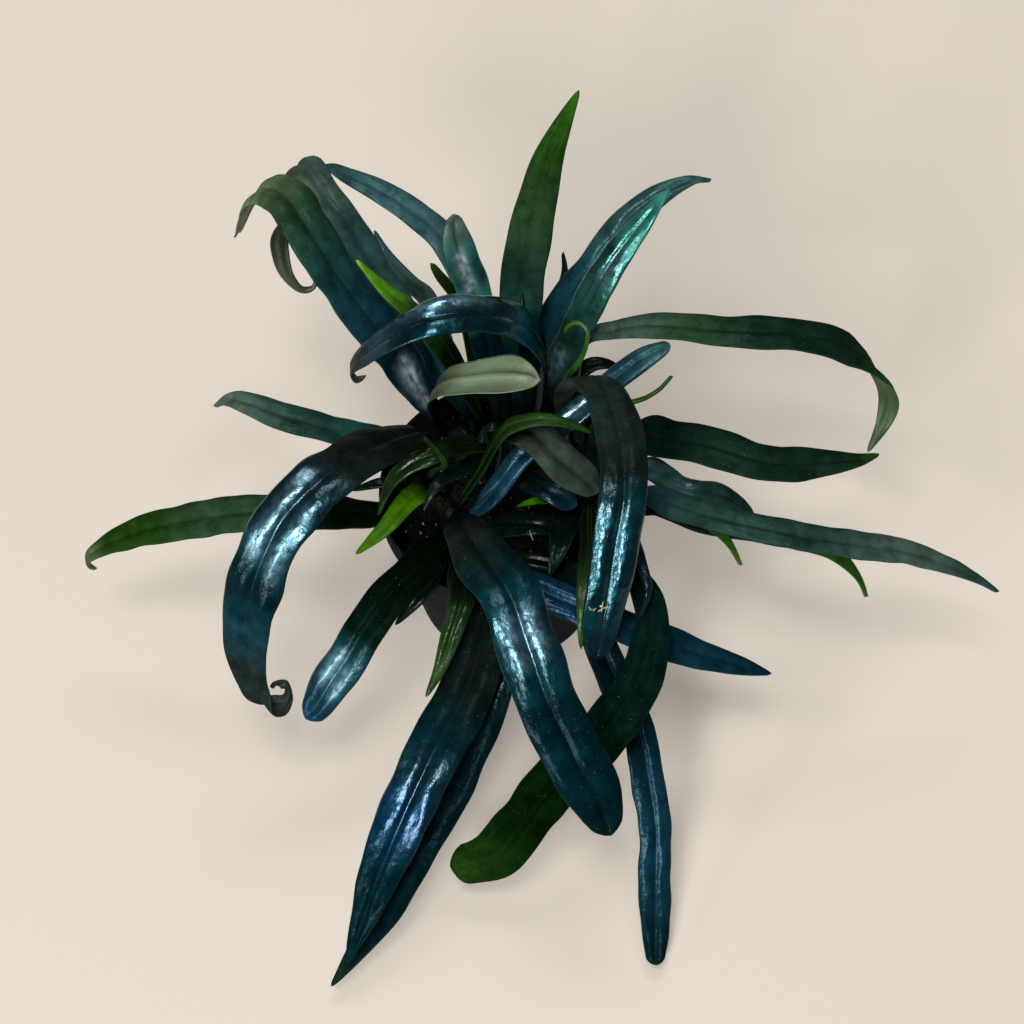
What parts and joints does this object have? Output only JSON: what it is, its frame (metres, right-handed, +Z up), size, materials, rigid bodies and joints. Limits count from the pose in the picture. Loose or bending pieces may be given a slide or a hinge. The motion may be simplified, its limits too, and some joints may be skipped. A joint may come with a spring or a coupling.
{
  "type": "potted fern",
  "caption": "Potted blue oil fern: long leathery blue-green strap fronds arch and trail out of a round black plastic nursery pot.",
  "frame": {"origin": "middle of the pot's flat base, on the surface that it stands on", "axes": "+Z up along the pot's axis, +X to the right, -Y towards the side that is looked at"},
  "size_m": [0.424, 0.3533, 0.2438],
  "materials": {
    "pot_plastic": "thin black moulded plastic",
    "peat": "dark damp peat with pale grit",
    "rhizome_skin": "scaly tan and green skin",
    "blue_leaf": "leathery blue-green leaf with a satin shine",
    "teal_leaf": "leathery teal leaf with a satin shine",
    "deep_leaf": "leathery dark green leaf, satin",
    "green_leaf": "dull green leaf and pale underside",
    "leaf_leaf": "bright green young leaf",
    "young_leaf": "yellow-green new growth"
  },
  "bodies": {
    "root": {"pot": "pot_plastic", "soil": "peat", "rhizome": "rhizome_skin", "back_tall": "deep_leaf", "back_right_blue": "blue_leaf", "back_right_teal": "teal_leaf", "back_right_tip": "deep_leaf", "back_grey_tip": "deep_leaf", "back_teal_short": "teal_leaf", "back_small": "green_leaf", "back_left_strip": "blue_leaf", "back_left_grey": "blue_leaf", "back_left_hidden": "deep_leaf", "back_left_loop": "green_leaf", "back_left_big": "blue_leaf", "green_lance": "leaf_leaf", "back_arch": "blue_leaf", "pale_folded": "green_leaf", "curled_young": "leaf_leaf", "right_loop": "deep_leaf", "right_dark_arch": "deep_leaf", "right_inner_arch": "deep_leaf", "right_thread": "leaf_leaf", "right_upright_dark": "deep_leaf", "right_dark": "deep_leaf", "right_behind": "deep_leaf", "right_long": "teal_leaf", "right_under_a": "deep_leaf", "right_under_b": "deep_leaf", "right_narrow_blue": "blue_leaf", "front_arch_right": "blue_leaf", "front_edge_green": "leaf_leaf", "front_right_bow": "deep_leaf", "front_right_blue": "blue_leaf", "front_blue": "blue_leaf", "front_big": "teal_leaf", "front_left_long": "blue_leaf", "front_left_under": "blue_leaf", "front_small_green": "green_leaf", "front_sprout": "young_leaf", "left_front": "deep_leaf", "left_front_under": "deep_leaf", "left_lower": "deep_leaf", "left_shaded": "deep_leaf", "left_arch": "blue_leaf", "left_upper": "teal_leaf", "left_yellow_leaf": "young_leaf", "left_dark_leaf": "green_leaf", "left_teal_leaf": "deep_leaf", "left_sprout": "young_leaf", "inner_blue": "blue_leaf", "inner_green_arch": "leaf_leaf", "inner_grey_leaf": "deep_leaf", "inner_dark_leaf": "blue_leaf", "small_arch_a": "deep_leaf", "small_arch_b": "deep_leaf", "centre_low_dark": "deep_leaf", "centre_down_leaf": "deep_leaf", "centre_pale_leaf": "green_leaf", "centre_bright_leaf": "young_leaf"}
  },
  "joints": []
}
